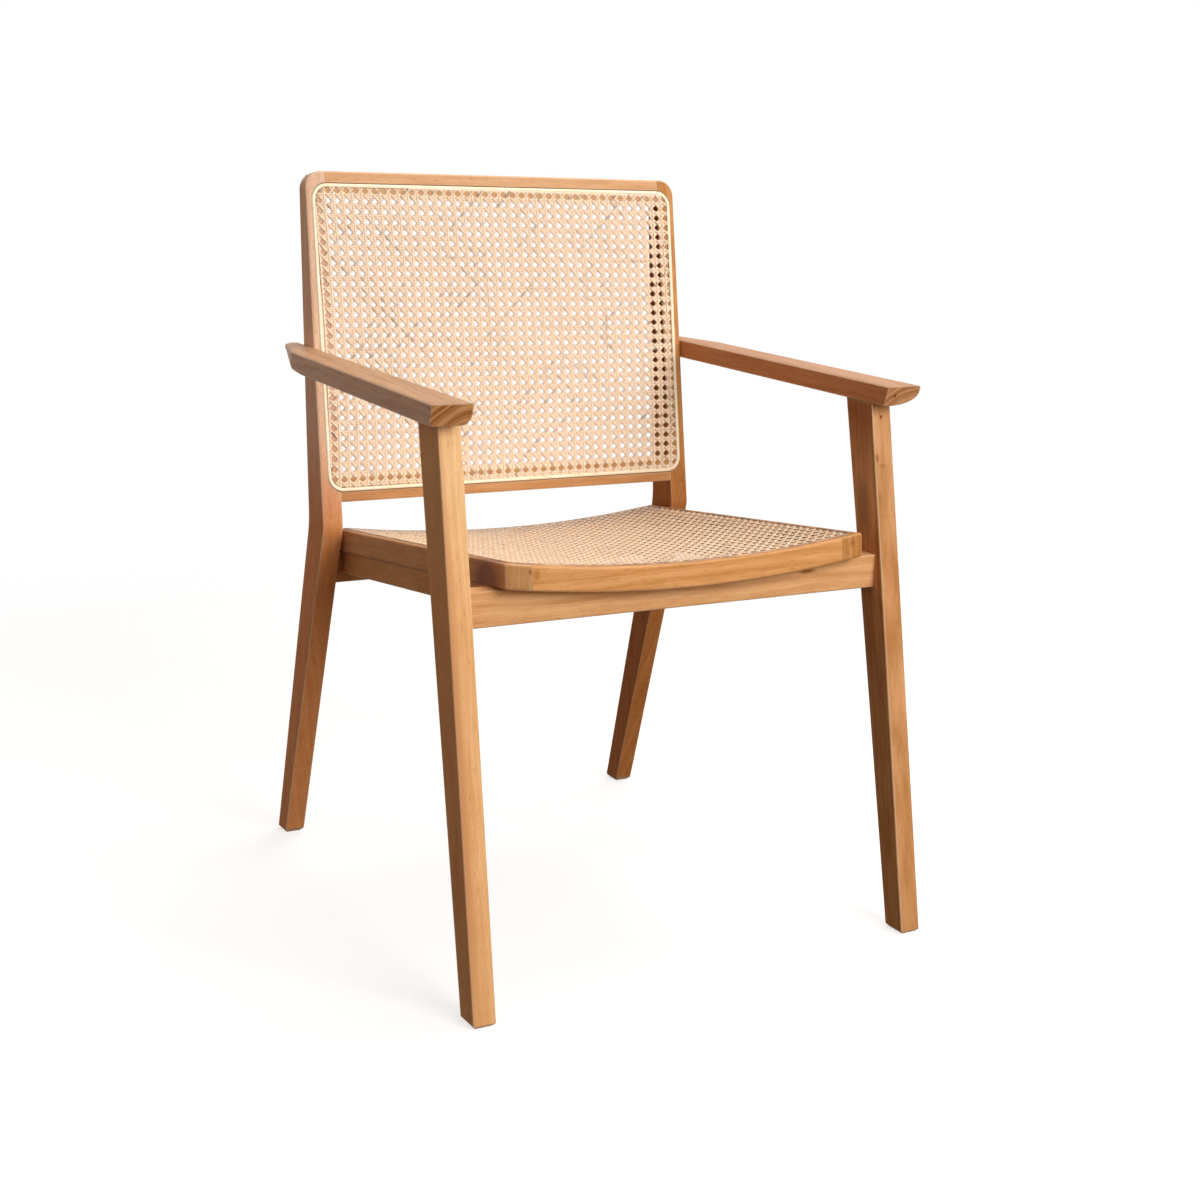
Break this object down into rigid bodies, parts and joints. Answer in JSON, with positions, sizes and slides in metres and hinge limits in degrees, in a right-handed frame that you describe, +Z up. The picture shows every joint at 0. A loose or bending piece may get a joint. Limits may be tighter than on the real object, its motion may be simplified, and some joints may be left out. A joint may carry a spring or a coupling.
{
  "type": "cane armchair",
  "caption": "Wooden armchair with a woven cane back, a dished cane seat on a separate frame, raked legs and flat tapered arms.",
  "frame": {"origin": "on the floor, in the middle of the chair's width and depth", "axes": "+Z up, -Y the way the sitter faces, +X to the right when the chair is seen from its front; left and right in names are as seen from the front"},
  "size_m": [0.615, 0.6286, 0.8389],
  "materials": {
    "post_wood": "oiled satin",
    "leg_wood": "oiled satin",
    "arm_wood": "oiled satin",
    "rail_wood": "oiled satin",
    "seat_wood": "oiled satin",
    "cane": "natural cane, satin",
    "spline": "natural reed, satin",
    "dowel_wood": "raw",
    "screw_steel": "plain"
  },
  "bodies": {
    "root": {"left_rear_post": "post_wood", "right_rear_post": "post_wood", "top_rail": "post_wood", "lower_back_rail": "post_wood", "left_front_leg": "leg_wood", "right_front_leg": "leg_wood", "left_armrest": "arm_wood", "right_armrest": "arm_wood", "front_seat_rail": "rail_wood", "rear_seat_rail": "rail_wood", "left_side_rail": "rail_wood", "right_side_rail": "rail_wood", "seat_frame_front": "seat_wood", "seat_frame_rear": "seat_wood", "seat_frame_left": "seat_wood", "seat_frame_right": "seat_wood", "back_cane": "cane", "seat_cane": "cane", "back_spline": "spline", "seat_spline": "spline", "top_rail_dowels": "dowel_wood", "lower_back_rail_dowels": "dowel_wood", "front_rail_dowels": "dowel_wood", "rear_rail_dowels": "dowel_wood", "side_rail_dowels": "dowel_wood", "seat_frame_dowels": "dowel_wood", "arm_dowels": "dowel_wood", "arm_screws": "screw_steel", "seat_screws": "screw_steel"}
  },
  "joints": []
}
